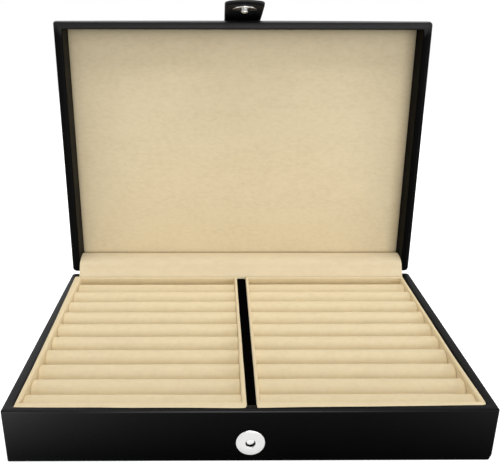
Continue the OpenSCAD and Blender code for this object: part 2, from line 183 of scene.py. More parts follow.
def offset_path(path, amount):
    """A path in a plane moved to its left by amount."""
    moved = []
    for i, here in enumerate(path):
        before, after = Vector(path[max(i - 1, 0)]), Vector(path[min(i + 1, len(path) - 1)])
        along = (after - before).normalized()
        moved.append((here[0] - along.y * amount, here[1] + along.x * amount))
    return moved


def rounded_loop(half_x, half_y, radii, span, spacing=7 * MM):
    """A rounded rectangle as (x, y, share), where share is 1 at the middle of a corner and 0 elsewhere.

    The points on its sides are counted for the half sizes in span, so that loops match.
    """
    quarters = ((1, 1), (-1, 1), (-1, -1), (1, -1))
    steps_x, steps_y = (max(2, round(2 * half / spacing)) for half in span)
    points = []
    corners = []
    for quarter, ((sx, sy), radius) in enumerate(zip(quarters, radii)):
        centre = (sx * (half_x - radius), sy * (half_y - radius))
        corners.append(arc(centre, radius, quarter * 90, quarter * 90 + 90, CORNER_STEPS))
    for quarter, corner in enumerate(corners):
        points += [(x, y, i == CORNER_STEPS // 2) for i, (x, y) in enumerate(corner)]
        steps = steps_x if quarter % 2 == 0 else steps_y
        points += [(x, y, 0) for x, y in line(corner[-1], corners[(quarter + 1) % 4][0], steps)]
    return points


def band(name, half_x, half_y, profile, corners, least_r, mitre=(), closed=True, sharp=None):
    """Sweeps (inset, z) points round a rounded rectangle, moved in Z at its corners by mitre."""
    rings = []
    for i, (inset, z) in enumerate(profile):
        radii = [max(corner_r - inset, least_r) for corner_r in corners]
        loop = rounded_loop(half_x - inset, half_y - inset, radii, (half_x, half_y))
        dip = mitre[i] if i < len(mitre) else 0
        rings.append([(x, y, z + share * dip) for x, y, share in loop])
    return loft(name, rings, closed, sharp)


def lathe(name, profile, place, steps=64, closed=False):
    """Turns a profile of (radius, height) points about the local Z of place.

    The profile runs from the axis to the axis, or, as a closed path, leaves a hole.
    """
    rings = [
        [
            place @ Vector((r * cos(a), r * sin(a), h))
            for a in (2 * pi * j / steps for j in range(steps))
        ]
        for r, h in profile
    ]
    return loft(name, rings, closed, sharp=50)


def move_verts(obj, move):
    """Moves each vertex to move(its place)."""
    for v in obj.data.vertices:
        v.co = move(v.co.copy())
    obj.data.update()


def apply_modifiers(obj):
    """Applies every modifier on an object to its mesh."""
    graph = bpy.context.evaluated_depsgraph_get()
    mesh = bpy.data.meshes.new_from_object(obj.evaluated_get(graph))
    obj.modifiers.clear()
    obj.data = mesh


def along_stops(value, stops):
    """The level at value between (place, level) stops, held level beyond them."""
    if value <= stops[0][0]:
        return stops[0][1]
    for (a, low), (b, high) in zip(stops, stops[1:]):
        if value <= b:
            return low + (high - low) * (value - a) / (b - a)
    return stops[-1][1]


def set_level(obj, name, level):
    """Stores level(its place) with each vertex, for a shader to read."""
    layer = obj.data.attributes.new(name, "FLOAT", "POINT")
    for v, item in zip(obj.data.vertices, layer.data):
        item.value = level(v.co)


def waves(point, size, seed):
    """Smooth noise from -1 to 1 whose bumps are about size wide."""
    return noise.noise(Vector(point) / size + Vector((seed * 7.3, seed * 3.1, seed * 5.7)))


def finish_piece(obj, body, slot, *nodes):
    """Gives a piece its body (none if it blends), its slot and material, and the nodes it stands for."""
    obj.data.materials.clear()
    obj.data.materials.append(MATERIALS[slot])
    if body:
        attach(obj, body)
    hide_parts(*nodes)


# ---- Materials ----

def add_node(tree, kind, links=(), inputs=(), **settings):
    """Adds a shader node with its settings, input values and links."""
    made = tree.nodes.new(f"ShaderNode{kind}")
    for key, value in settings.items():
        setattr(made, key, value)
    for key, value in dict(inputs).items():
        made.inputs[key].default_value = value
    for key, value in dict(links).items():
        tree.links.new(value, made.inputs[key])
    return made


MATERIALS = {}


class Shader:
    """A material with a Principled shader, kept in MATERIALS, and short calls to add its nodes."""

    def __init__(self, name, **sockets):
        self.material = MATERIALS[name] = bpy.data.materials.new(name)
        self.material.use_nodes = True
        self.tree = self.material.node_tree
        self.main = self.tree.nodes["Principled BSDF"]
        for socket, value in sockets.items():
            self.main.inputs[socket.replace("_", " ")].default_value = value
        self.place = self.node("TexCoord").outputs["Object"]

    def node(self, kind, links=(), inputs=(), **settings):
        return add_node(self.tree, kind, links, inputs, **settings)

    def link(self, output, socket):
        self.tree.links.new(output, self.main.inputs[socket])

    def noise(self, size, detail=3.0, roughness=0.55, stretch=(1, 1, 1)):
        place = self.node("Mapping", {"Vector": self.place}, {"Scale": stretch}).outputs["Vector"]
        inputs = {"Scale": 1 / size, "Detail": detail, "Roughness": roughness}
        return self.node("TexNoise", {"Vector": place}, inputs).outputs["Fac"]

    def cells(self, size):
        links, inputs = {"Vector": self.place}, {"Scale": 1 / size}
        return self.node("TexVoronoi", links, inputs, feature="SMOOTH_F1").outputs["Distance"]

    def math(self, operation, a, b):
        made = self.node("Math", operation=operation)
        for socket, value in zip(made.inputs, (a, b)):
            if isinstance(value, (int, float)):
                socket.default_value = value
            else:
                self.tree.links.new(value, socket)
        return made.outputs[0]

    def weighted(self, *terms):
        """The sum of (output, weight) terms."""
        total = 0.0
        for output, weight in terms:
            total = self.math("ADD", total, self.math("MULTIPLY", output, weight))
        return total

    def ramp(self, value, stops, socket="Base Color"):
        """Drives a socket through a colour ramp of (position, colour or grey) stops."""
        made = self.node("ValToRGB", {"Fac": value})
        elements = made.color_ramp.elements
        while len(elements) < len(stops):
            elements.new(0.5)
        for element, (position, colour) in zip(elements, stops):
            element.position = position
            element.color = (*colour, 1) if hasattr(colour, "__len__") else (colour, colour, colour, 1)
        self.link(made.outputs["Color"], socket)

    def darken(self, attribute):
        """Multiplies the base colour by a level that each vertex holds."""
        level = self.node("Attribute", attribute_name=attribute).outputs["Fac"]
        colour = self.main.inputs["Base Color"].links[0].from_socket
        made = self.node("VectorMath", {0: colour, "Scale": level}, operation="SCALE")
        self.link(made.outputs["Vector"], "Base Color")

    def bump(self, height, distance, strength=1.0):
        made = self.node("Bump", {"Height": height}, {"Distance": distance, "Strength": strength})
        self.link(made.outputs["Normal"], "Normal")


def srgb(*levels):
    """A colour from 0-255 sRGB levels."""
    shares = [level / 255 for level in levels]
    return tuple(c / 12.92 if c <= 0.04045 else ((c + 0.055) / 1.055) ** 2.4 for c in shares)


def shaded(colour, factor):
    return tuple(c * factor for c in colour)


def leather(name, colour, cell, roughness, specular, bump_depth):
    """Black grained leather with pebbles about cell wide. Without a specular level it reads one from a
    vertex attribute, which holds its own shine together with painted highlights and painted shade.
    """
    s = Shader(name, Specular_IOR_Level=specular or 0.0)
    if specular is None:
        gloss_and_painted_light = s.node("Attribute", attribute_name="gloss_and_painted_light").outputs["Fac"]
        s.link(gloss_and_painted_light, "Specular IOR Level")
    pebbles = s.cells(cell)
    fine = s.noise(cell / 4, 3)
    patches = s.noise(28 * MM, 2)
    tone = s.weighted((patches, 0.6), (pebbles, 0.5))
    s.ramp(tone, [(0.2, shaded(colour, 0.75)), (0.8, shaded(colour, 1.25))])
    low, high = roughness - 0.05, roughness + 0.07
    s.ramp(s.weighted((patches, 0.5), (fine, 0.5)), [(0.3, low), (0.7, high)], "Roughness")
    s.bump(s.weighted((pebbles, 1.0), (fine, 0.25)), bump_depth)


def suede(
    name, colour, streak=(1, 1, 1), contrast=0.07, sheen=0.35, specular=0.03, brushed=5 * MM, pressed=False
):
    """Short-napped suede: soft patches over fine fibres. With pressed set, its base colour is darkened by
    painted shade, a level that each vertex holds.
    """
    s = Shader(name, Specular_IOR_Level=specular, Roughness=0.95, Sheen_Weight=sheen, Sheen_Roughness=0.35)
    patches = s.noise(24 * MM, 3, 0.6, streak)
    strokes = s.noise(brushed, 3, 0.6, streak)
    fibres = s.noise(0.5 * MM, 4, 0.7, streak)
    tone = s.weighted((patches, 0.24), (strokes, 0.43), (fibres, 0.33))
    warm = (1 - contrast, 1 - 1.2 * contrast, 1 - 1.6 * contrast)
    dark = tuple(c * w for c, w in zip(colour, warm))
    s.ramp(tone, [(0.3, dark), (0.52, colour), (0.72, shaded(colour, 1 + 0.6 * contrast))])
    # painted shade: darker towards the panel's borders, where the lid's walls shade it
    if pressed:
        s.darken("painted_border_shade")
    s.bump(s.weighted((fibres, 0.5), (strokes, 1.2)), 0.22 * MM, 0.6)


def metal(name, colour, roughness, brushed=0.0):
    """Plated steel with faint handling marks."""
    s = Shader(name, Metallic=1.0)
    marks = s.noise(1.1 * MM, 5, 0.7, (1, 6, 1) if brushed else (1, 1, 1))
    cloud = s.noise(9 * MM, 2)
    s.ramp(cloud, [(0.3, shaded(colour, 0.93)), (0.7, colour)])
    wear = s.weighted((marks, 0.6), (cloud, 0.4))
    s.ramp(wear, [(0.3, roughness - 0.04), (0.7, roughness + 0.08)], "Roughness")
    s.bump(marks, 0.02 * MM, 0.25 + brushed)


def fibrous(name, dark, pale, fibres, bump, patches=0, **sockets):
    """Card, felt or fibreboard: a mottle of fibres, and broader patches if they have a size."""
    s = Shader(name, **sockets)
    tone = mottle = s.noise(*fibres)
    if patches:
        tone = s.weighted((mottle, 0.7), (s.noise(patches, 2), 0.3))
    s.ramp(tone, [(0.3, dark), (0.7, pale)])
    s.bump(mottle, *bump)


def card(name, colour):
    sockets = {"Roughness": 0.9, "Specular_IOR_Level": 0.15}
    fibrous(name, shaded(colour, 0.88), colour, (1.2 * MM, 4, 0.65), (0.05 * MM, 0.4), **sockets)


SUEDE_COLOUR = (0.75, 0.627, 0.407)
leather("leatherette", srgb(5, 5, 5), 0.75 * MM, 0.4, None, 0.07 * MM)
leather("strap_outer_leather", srgb(22, 24, 18), 0.6 * MM, 0.4, 0.25, 0.06 * MM)
leather("strap_inner_leather", srgb(9, 10, 15), 0.5 * MM, 0.5, 0.05, 0.05 * MM)
suede("roll_suede", SUEDE_COLOUR)
suede("tray_suede", SUEDE_COLOUR)
suede("strip_suede", (0.75, 0.635, 0.435), (0.5, 1, 1), sheen=0.15)
# The panel's suede carries painted shade along its borders (pressed=True).
suede("panel_suede", (0.81, 0.695, 0.475), (0.45, 1, 1), 0.1, 0.1, brushed=2.4 * MM, pressed=True)
# The divider's suede is black, and has no sheen and no specular, so it renders as black as deep shade:
# partly its own colour, partly painted shade.
suede("black_suede", srgb(4, 4, 4), sheen=0.0, specular=0.0)
fibrous(
    "felt", shaded(srgb(28, 28, 29), 0.7), shaded(srgb(28, 28, 29), 1.3), (0.7 * MM, 6, 0.75),
    (0.3 * MM, 0.8), Roughness=1.0, Specular_IOR_Level=0.05, Sheen_Weight=0.2,
)
fibrous(
    "board", srgb(136, 104, 68), srgb(183, 148, 104), (0.8 * MM, 5, 0.7, (0.4, 1, 1)),
    (0.1 * MM, 0.5), 20 * MM, Roughness=0.85, Specular_IOR_Level=0.2,
)
card("card", srgb(214, 200, 166))
card("magnet", srgb(16, 16, 17))
metal("snap_nickel", (0.54, 0.538, 0.53), 0.16)
metal("snap_steel", srgb(205, 205, 202), 0.22)
metal("hinge_steel", srgb(196, 190, 178), 0.32, brushed=0.3)


# ---- Leatherette ----

BASE_DROP = 0.38 * MM  # the base's covering ends this far below the CAD's
BASE_BOTTOM_R = 0.45 * MM
WEAR_HEIGHT = 3.4 * MM  # of the worn corner at the base's front right
WEAR_DEPTH = 1.2 * MM
FRONT_SOFT_Y = 1.28  # how much wider, and higher, the lid's rounded front edge is than its others
FRONT_SOFT_Z = 1.9
SNAP_HOLE_R = 2.9 * MM
MORTISE_ROOM = 0.1 * MM
LEAF_T = BASE_HI.z - min(point.z for point in cad_points("base_hinge_leaves") if point.y < HALF_D)

# Specular levels: the base's rims, faces and front edge, then the lid's rim, edge, faces and right wall.
# The edges' levels make painted highlights, and the right wall's low level makes painted shade.
BASE_RIM_GLOSS = 0.085
BASE_FACE_GLOSS = 0.04
FRONT_EDGE_HIGHLIGHT = 0.31
LID_RIM_GLOSS = 0.17
LID_EDGE_HIGHLIGHT = 1.5
LID_FACE_GLOSS = 0.03
LID_SHADE_GLOSS = 0.012


def rim_profile(rim_z, direction, edge_r):
    """The rim's face as (inset, z), from outside to its soft inner edge, facing up (1) or down (-1)."""
    outer = arc((edge_r, -edge_r), edge_r, 180, 90, 6)
    inner = arc((WALL_T - INNER_EDGE_R, -INNER_EDGE_R), INNER_EDGE_R, 90, 0, 8)
    flat = line(outer[-1], inner[0], 4)
    middle, reach = (outer[-1][0] + inner[0][0]) / 2, WALL_T / 2
    raised = [(x, y - RIM_CROWN * ((x - middle) / reach) ** 2) for x, y in outer + flat + inner]
    return [(x, rim_z + direction * y) for x, y in raised]


def mitre_dips(profile, rim_z, direction):
    """How far each profile point dips at a mitre: fully on the rim, and not on the walls."""
    return [
        -direction * MITRE_DEPTH if abs(z - rim_z) < 1.2 * MM and inset < WALL_T - 0.2 * MM else 0
        for inset, z in profile
    ]


def swell(shell, front_share):
    """Thickens the walls outwards at the sides and back, and by front_share(its place) at the front."""
    def swollen(p):
        share_x = max(0.0, (abs(p.x) - HALF_W + WALL_T) / WALL_T)
        share_y = max(0.0, (abs(p.y) - HALF_D + WALL_T) / WALL_T)
        p.x += copysign(COVER_SWELL * share_x, p.x)
        p.y += copysign(COVER_SWELL * share_y, p.y) * (1 if p.y > 0 else front_share(p))
        return p

    move_verts(shell, swollen)


def covering(name, face, rim_z, direction, corners, closed, gloss_and_painted_light, front_swell):
    """The leatherette over half of the box: its outer face in section, swept, given specular levels with
    painted highlights and painted shade, and swollen.
    """
    profile = face + list(reversed(offset_path(face, -direction * WRAP_T)))
    dips = mitre_dips(profile, rim_z, direction)
    shell = band(name, HALF_W, HALF_D, profile, corners, LEAST_R, dips, closed, COVER_SHARP)
    set_level(shell, "gloss_and_painted_light", gloss_and_painted_light)
    swell(shell, front_swell)
    return shell


def base_shell():
    """The leatherette over the base's walls, turned in underneath."""
    bottom_z = BASE_LO.z - BASE_DROP
    outside = [(TURN_IN, bottom_z)]
    outside += arc((BASE_BOTTOM_R, bottom_z + BASE_BOTTOM_R), BASE_BOTTOM_R, 270, 180, 4)
    edge_z = BASE_HI.z - BASE_EDGE_R
    outside += [(0, BASE_LO.z + WEAR_HEIGHT)]
    outside += line(outside[-1], (0, edge_z), 6) + [(0, edge_z - 0.9 * MM), (0, edge_z - 0.6 * MM)]
    rim = rim_profile(BASE_HI.z, 1, BASE_EDGE_R)
    foot = (WALL_T, bottom_z + 3 * MM)
    inside = line(rim[-1], foot, 4) + [foot]
    face = outside + rim + inside
    shell = covering("base_covering", face, BASE_HI.z, 1, BASE_CORNERS, True, base_painted_light, lambda p: 0.0)
    move_verts(shell, worn_corner)
    leaves_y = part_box("base_hinge_leaves")[0].y
    cut_mortises(shell, leaves_y, BASE_HI.z - LEAF_T - MORTISE_ROOM, BASE_HI.z + 1 * MM)
    cut_snap_hole(shell)
    finish_piece(shell, "base", "leatherette", "base_leatherette")


def base_painted_light(p):
    """Specular level over the base: rims glossier than the faces, with painted light on top: a painted
    highlight along the middle of the front edge, the front face more reflective towards its top and its
    ends, and the left rims more reflective than the right.
    """
    height = max(0.0, (p.z - BASE_LO.z) / (BASE_HI.z - BASE_LO.z))
    edge_z = BASE_HI.z - BASE_EDGE_R
    # Painted light on the front face and edge: more reflection at the face's left end, and a little at its
    # right end.
    painted_face_light = 0.03 + 0.28 * exp(-(p.x + HALF_W) / (46 * MM)) + 0.05 * max(0.0, p.x / HALF_W) ** 3
    # The front face: painted light, more reflective towards its top.
    if p.y < 0.05 * MM - HALF_D and p.z < edge_z - 0.75 * MM:
        return 0.8 * painted_face_light * (0.15 + 0.85 * height ** 1.5)
    # The front edge: a painted highlight, strongest a little left of its middle.
    if p.y < 0.14 * MM - HALF_D and p.z < edge_z + 0.1 * MM:
        return max(painted_face_light, FRONT_EDGE_HIGHLIGHT * exp(-((p.x + 15 * MM) / (85 * MM)) ** 2) + 0.05)
    if p.z < edge_z:
        return BASE_FACE_GLOSS
    # The rims: painted light, the left ones more reflective than the right.
    if p.y < WALL_T - HALF_D:
        return BASE_RIM_GLOSS - 0.03 * p.x / HALF_W
    return BASE_RIM_GLOSS if p.x < 0 else BASE_FACE_GLOSS


def cut_mortises(shell, front_y, low_z, high_z):
    """Cuts room for both hinges' leaves out of a shell, from front_y back and between two heights."""
    right = [point.x for point in cad_points("hinge_pins") if point.x > 0]
    middle = (min(right) + max(right)) / 2
    half_len = abs(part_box("hinge_pins")[0].x) - abs(middle)
    cutters = []
    for side in (-1, 1):
        x0 = side * middle - half_len - MORTISE_ROOM
        x1 = side * middle + half_len + MORTISE_ROOM
        y0, y1 = front_y - MORTISE_ROOM, HALF_D + 2 * MM
        corners = [(x, y, z) for x in (x0, x1) for y in (y0, y1) for z in (low_z, high_z)]
        quads = [(0, 1, 3, 2), (4, 6, 7, 5), (0, 4, 5, 1), (2, 3, 7, 6), (0, 2, 6, 4), (1, 5, 7, 3)]
        cutters.append(make_object("cutter", corners, quads))
    cut_out(shell, cutters)


def facing_front(y, lo, hi):
    """A frame at y, midway up from lo to hi, with its local Z towards the front."""
    return Matrix.Translation((0, y, (lo.z + hi.z) / 2)) @ Matrix.Rotation(radians(90), 4, "X")


def cut_snap_hole(shell):
    """Opens the covering behind the snap's hole."""
    lo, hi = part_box("snap_socket_cap")
    depth = 1.5 * MM
    profile = [(0.01 * MM, -depth), (SNAP_HOLE_R, -depth), (SNAP_HOLE_R, depth), (0.01 * MM, depth)]
    cut_out(shell, [lathe("cutter", profile, facing_front(hi.y, lo, hi), 32)])


def cut_out(shell, cutters):
    """Takes the cutters out of a shell."""
    for cutter in cutters:
        modifier = shell.modifiers.new("cut", "BOOLEAN")
        modifier.operation = "DIFFERENCE"
        modifier.solver = "EXACT"
        modifier.object = cutter
    bpy.context.view_layer.update()
    apply_modifiers(shell)
    shade(shell.data, COVER_SHARP)
    for cutter in cutters:
        bpy.data.objects.remove(cutter)


def lid_shell():
    """The leatherette over the lid's top and walls, as one closed skin."""
    top_z = LID_HI.z
    top = [(LID_EDGE_R * 6, top_z)] + arc((LID_EDGE_R, top_z - LID_EDGE_R), LID_EDGE_R, 90, 180, 6)
    rim = rim_profile(LID_LO.z, -1, LID_EDGE_R)
    wall = line(top[-1], rim[0], 5)
    foot = (WALL_T, PANEL_HI.z)
    inside = line(rim[-1], foot, 4) + [foot]
    face = top + wall + rim + inside
    shell = covering("lid_covering", face, LID_LO.z, -1, LID_CORNERS, False, lid_painted_light, lid_front_swell)
    move_verts(shell, soft_front_edge)
    leaves_y = shut_box("lid_hinge_leaves")[0].y
    cut_mortises(shell, leaves_y, LID_LO.z - 1 * MM, LID_LO.z + LEAF_T + MORTISE_ROOM)
    shell.data.transform(OPENED)
    finish_piece(shell, "lid", "leatherette", "lid_leatherette")


def lid_front_swell(p):
    """The lid's front wall bows outwards at its rim, most in its middle."""
    return max(0.0, 1 - (p.z - LID_LO.z) / SWELL_FADE_Z) * (1 - 0.5 * (p.x / HALF_W) ** 2)


def soft_front_edge(p):
    """Rounds the shut lid's lower front edge more than its others, most in its middle."""
    inset, height = p.y + HALF_D + COVER_SWELL, p.z - LID_LO.z
    reach = LID_EDGE_R + COVER_SWELL
    if inset < 2 * reach and height < 1.2 * LID_EDGE_R:
        share = (1 - (p.x / HALF_W) ** 4) * min(1.0, 2 - inset / reach)
        p.y += (FRONT_SOFT_Y - 1) * inset * share * max(0.0, 1 - height / LID_EDGE_R)
        p.z += (FRONT_SOFT_Z - 1) * height * share
    return p


def worn_corner(p):
    """Rounds the base's lower corner at the front right."""
    low = max(0.0, 1 - (p.z - BASE_LO.z) / WEAR_HEIGHT)
    near = max(0.0, 1 - hypot(p.x - HALF_W, p.y + HALF_D) / (4 * MM))
    p.x -= WEAR_DEPTH * low ** 1.5 * min(1.0, 1.5 * near)
    return p


def lid_painted_light(p):
    """Specular level over the shut lid: a painted highlight along its front edge, and painted shade that
    leaves its right inner wall dullest.
    """
    if p.y < WALL_T - HALF_D and p.z < LID_LO.z + LID_EDGE_R + 0.1 * MM:
        # painted highlight, strongest at the outside of the front edge
        painted_edge_highlight = max(0.0, 1 - (p.y + HALF_D) / (0.75 * LID_EDGE_R))
        return LID_RIM_GLOSS + (LID_EDGE_HIGHLIGHT - LID_RIM_GLOSS) * painted_edge_highlight
    # painted shade: the lid's right part is dullest
    return LID_SHADE_GLOSS if 0.1 < p.x < HALF_W - 0.5 * WALL_T else LID_FACE_GLOSS


# ---- Divider, trays and rolls ----

# How far the divider's left face, and the left tray's wall beside it, lean to the right, by Y.
LEAN = [mm(*stop) for stop in ((-98, 1.3), (-60, 0.95), (-19, 0.6), (30, 0.05), (97, -0.4))]
TRAY_LEAN_IN = -0.4 * MM  # the right tray's wall beside the divider leans into its tray
DIVIDER_RISE = 0.8 * MM
DIVIDER_BACK = 1.0 * MM  # the divider reaches back to the hinge strip


def divider():
    """The black suede over the divider, with soft top edges, filling the gap between the trays."""
    lo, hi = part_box("divider_suede")
    tray_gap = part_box("right_tray_suede")[0].x
    half_x, half_y = tray_gap, (hi.y + DIVIDER_BACK - lo.y) / 2
    soft_r = 0.7 * MM
    top_z = hi.z + DIVIDER_RISE
    face = [(0, lo.z)] + line((0, lo.z), (0, top_z - soft_r), 3)
    face += arc((soft_r, top_z - soft_r), soft_r, 180, 90, 5)
    piece = band("divider_cover", half_x, half_y, face, (2.4 * MM,) * 4, 0.4 * MM, closed=False)
    piece.data.transform(Matrix.Translation((0, (lo.y + hi.y + DIVIDER_BACK) / 2, 0)))

    def filled(p):
        height = (p.z - lo.z) / (top_z - lo.z)
        right = -TRAY_LEAN_IN
        left = along_stops(p.y, LEAN)
        share = (p.x + half_x) / (2 * half_x)
        p.x += height * (left * (1 - share) + right * share)
        return p

    move_verts(piece, filled)
    finish_piece(piece, "base", "black_suede", "divider_suede")


TRAY_WALL_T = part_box("right_ring_roll_1")[0].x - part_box("right_tray_suede")[0].x - 0.3 * MM
TRAY_SKIN_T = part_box("right_tray_card")[0].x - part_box("right_tray_suede")[0].x
# Upright corners of each tray, in the same order as the base's.
TRAY_CORNERS = {
    "left": mm(1.0, 1.6, 0.6, 1.0),
    "right": mm(1.0, 1.0, 1.0, 2.4),
}
# How far the suede laps over the base's rims, in mm: (Y, lap) on the side rims, and (X, lap) on the front.
SIDE_LAP = {
    "left": [(-99, 0.1), (-55, 0.3), (-22, 0.75), (3, 1.1), (30, 1.6), (61, 2.3), (94, 3.0)],
    "right": [(-93, 0.5), (-65, 0.2), (-44, 0.0), (94, 0.0)],
}
FRONT_LAP = [
    (-142, 2.8), (-120, 3.15), (-98, 3.4), (-55, 3.7), (-22, 4.1), (-8, 4.3),
    (10, 4.0), (32, 3.6), (54, 3.3), (76, 3.0), (98, 2.65), (120, 2.3), (142, 2.0),
]
LAP_TOP_Z = BASE_HI.z + 0.24 * MM
LAP_UNDER_Z = BASE_HI.z + 0.02 * MM


def tray_section(bottom_z, top_z):
    """A tray's suede in section, in pairs: (inset, z) when plain, (inset, z, lap's share) when lapped."""
    r = TRAY_WALL_T / 2
    outer = [(0, bottom_z)] + line((0, bottom_z), (0, top_z - r), 8)
    shoulder = arc((r, top_z - r), r, 180, 90, 8)
    inner = arc((r, top_z - r), r, 90, 0, 6)[1:]
    low_z, card_z = bottom_z + 1.3 * MM, top_z - TRAY_SKIN_T
    back = TRAY_WALL_T - TRAY_SKIN_T
    below = line(inner[-1], (TRAY_WALL_T, low_z), 8) + [(TRAY_WALL_T, low_z), (back, low_z)]
    below += [(back, card_z), (TRAY_SKIN_T, card_z), (TRAY_SKIN_T, bottom_z)]
    middle_z = (LAP_TOP_Z + LAP_UNDER_Z) / 2
    over = [
        (0, LAP_UNDER_Z, 0), (0, LAP_UNDER_Z, 0.5), (0.12 * MM, LAP_UNDER_Z, 1), (0, middle_z, 1),
        (0.08 * MM, LAP_TOP_Z - 0.06 * MM, 1), (0.3 * MM, LAP_TOP_Z, 1),
        (0.3 * MM, LAP_TOP_Z, 0.5), (0.4 * MM, LAP_TOP_Z, 0), (r, LAP_TOP_Z, 0),
    ]
    rise = LAP_TOP_Z - top_z
    lapped = [(*p, 0) for p in outer] + over
    lapped += [(x, z + rise * max(0.0, (z - top_z + r) / r), 0) for x, z in inner]
    lapped += [(*p, 0) for p in below]
    return list(zip(outer + shoulder + inner + below, lapped))


def tray(side, seed):
    """The suede over a tray's walls: round tops that lap over the base's rims, and a slot for the card."""
    node = f"{side}_tray_suede"
    lo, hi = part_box(node)
    centre = (lo + hi) / 2
    half_x, half_y = (hi.x - lo.x) / 2, (hi.y - lo.y) / 2
    outward = -1 if side == "left" else 1
    side_lap = [mm(*stop) for stop in SIDE_LAP[side]]
    front_lap = [mm(*stop) for stop in FRONT_LAP]

    def loop(inset):
        radii = [max(r - inset, 0.5 * MM) for r in TRAY_CORNERS[side]]
        return rounded_loop(half_x - inset, half_y - inset, radii, (half_x, half_y), 4 * MM)

    facing = [Vector((a[0] - b[0], a[1] - b[1])).normalized() for a, b in zip(loop(0), loop(0.3 * MM))]
    rings = []
    for (inset, z), (lapped_inset, lapped_z, lap_share) in tray_section(lo.z, hi.z):
        ring = []
        height = (z - lo.z) / (hi.z - lo.z)
        for (x, y, _), (x0, y0, _), n in zip(loop(inset), loop(0), facing):
            place = Vector((centre.x + x0, centre.y + y0, 0))
            uneven = 1 + 0.07 * waves(place, 30 * MM, seed + 3)
            lap_x = lap_y = 0.0
            if n.x * outward > 0:
                lap_x = max(-1.0, min(1.0, 1.6 * n.x)) * along_stops(place.y, side_lap) * uneven
            if n.y < 0:
                lap_y = max(-1.0, 1.6 * n.y) * along_stops(place.x, front_lap) * uneven
            blend = min(1.0, hypot(lap_x, lap_y) / (0.5 * MM))
            move_in = (inset - lapped_inset) * blend
            lean = along_stops(place.y, LEAN) if side == "left" else TRAY_LEAN_IN
            lean = lean * (1 - inset / TRAY_WALL_T) + min(lean, 0.9 * TRAY_SKIN_T) * inset / TRAY_WALL_T
            lean *= height * max(0.0, -outward * n.x)
            sway_x, sway_y = (0.1 * MM * height * waves(place, 26 * MM, seed + k) for k in (0, 1))
            ring.append((
                centre.x + x + n.x * (move_in + lean) + lap_x * lap_share + sway_x,
                centre.y + y + n.y * move_in + lap_y * lap_share + sway_y,
                z + (lapped_z - z) * blend + 0.06 * MM * height * (1 + waves(place, 22 * MM, seed + 2)),
            ))
        rings.append(ring)
    piece = loft(f"{side}_tray_cover", rings, closed=True, sharp=70)
    finish_piece(piece, "base", "tray_suede", node)


ROLL_SECTIONS = 34
ROLL_END_STEPS = (0.0, 0.1, 0.25, 0.45, 0.7, 1.0, 1.5)  # shares of the end radius
ROLL_END_R = 0.6 * MM
ROLL_END_REACH = 0.27 * MM  # the rolls' ends press against the tray's walls
# How far each roll is pressed down, from the back.
ROLL_DROPS = mm(1.6, -0.2, -0.3, -0.1, 0.45, 1.0, 1.25, 1.65, 1.5, 0.85)


def ring_roll(side, number, seed):
    """A foam roll in suede: a bar with a half-round top, soft ends and slightly uneven sides."""
    node = f"{side}_ring_roll_{number}"
    lo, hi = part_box(node)
    middle_y = (lo.y + hi.y) / 2
    radius = (hi.y - lo.y) / 2 + 0.1 * MM
    lean = along_stops(middle_y, LEAN) if side == "left" else 0.0
    start_x = lo.x - ROLL_END_REACH
    length = hi.x + ROLL_END_REACH + min(lean, 0.9 * TRAY_SKIN_T) - start_x
    crown_z = hi.z - radius - ROLL_DROPS[number - 1]
    front_fullness = 0.5 if number == len(ROLL_DROPS) else 1.0
    ends = [ROLL_END_R * share for share in ROLL_END_STEPS]
    between = [ends[-1] + (length - 2 * ends[-1]) * i / ROLL_SECTIONS for i in range(1, ROLL_SECTIONS)]
    rings = []
    for along in ends + between + [length - gap for gap in reversed(ends)]:
        x = start_x + along
        end_gap = min(along, length - along)
        inward = max(0.0, 1 - end_gap / ROLL_END_R)
        shrink = ROLL_END_R * (1 - sqrt(max(0.0, 1 - inward * inward)))
        r = radius - shrink
        lift = 0.22 * MM * waves((x, middle_y, 0), 38 * MM, seed)
        sway = 0.18 * MM * waves((x, middle_y, 0), 34 * MM, seed + 1)
        dome = []
        for a in (pi * j / 20 for j in range(21)):
            y, z = cos(a), sin(a)
            fullness = front_fullness if y < 0 else 1.0
            dome.append((y * r, max(0.0, z) ** fullness * r))
        ring = [(x, middle_y + sway + y, crown_z + lift + z) for y, z in dome]
        side_z = (crown_z - 5 * MM, crown_z - 11 * MM, lo.z)
        ring += [(x, middle_y - r, z) for z in side_z] + [(x, middle_y + r, z) for z in reversed(side_z)]
        rings.append(ring)
    piece = loft(f"{side}_roll_{number}", rings, sharp=60)
    finish_piece(piece, "base", "roll_suede", node)


# ---- Lid panel ----

PANEL_BORDER = mm(0, 0.7, 1.5, 2.5, 3.8, 5.4)  # rows of points inside each edge
PANEL_SPACING = 4 * MM
PANEL_CROWN = 1.8 * MM  # most that the padding lifts the suede
PANEL_EDGE = 7 * MM  # width over which the pad curves down to its edge
BORDER_SHADE_FRONT = 0.52  # painted shade: the share of the panel's lightness taken off at its front border
BORDER_SHADE_SIDE = 0.42  # and at its side borders, also painted shade
CLOTH_FRAMES = 20


def panel_stops(low, high):
    """Places across the panel, closer together near its edges."""
    reach = high - low - 2 * (PANEL_BORDER[-1] + PANEL_SPACING)
    count = round(reach / PANEL_SPACING)
    middle = [low + PANEL_BORDER[-1] + PANEL_SPACING + reach * i / count for i in range(count + 1)]
    last = [high - edge for edge in reversed(PANEL_BORDER)]
    return [low + edge for edge in PANEL_BORDER] + middle + last


def painted_border_shade_level(p):
    """How light the panel is painted at p: painted shade darkens it towards its borders, where the lid's
    walls shade it.
    """
    front = 1 - BORDER_SHADE_FRONT * exp(-(p.y - PANEL_LO.y) / (5 * MM))
    side = 1 - BORDER_SHADE_SIDE * exp(-min(p.x - PANEL_LO.x, PANEL_HI.x - p.x) / (2 * MM))
    return front * side


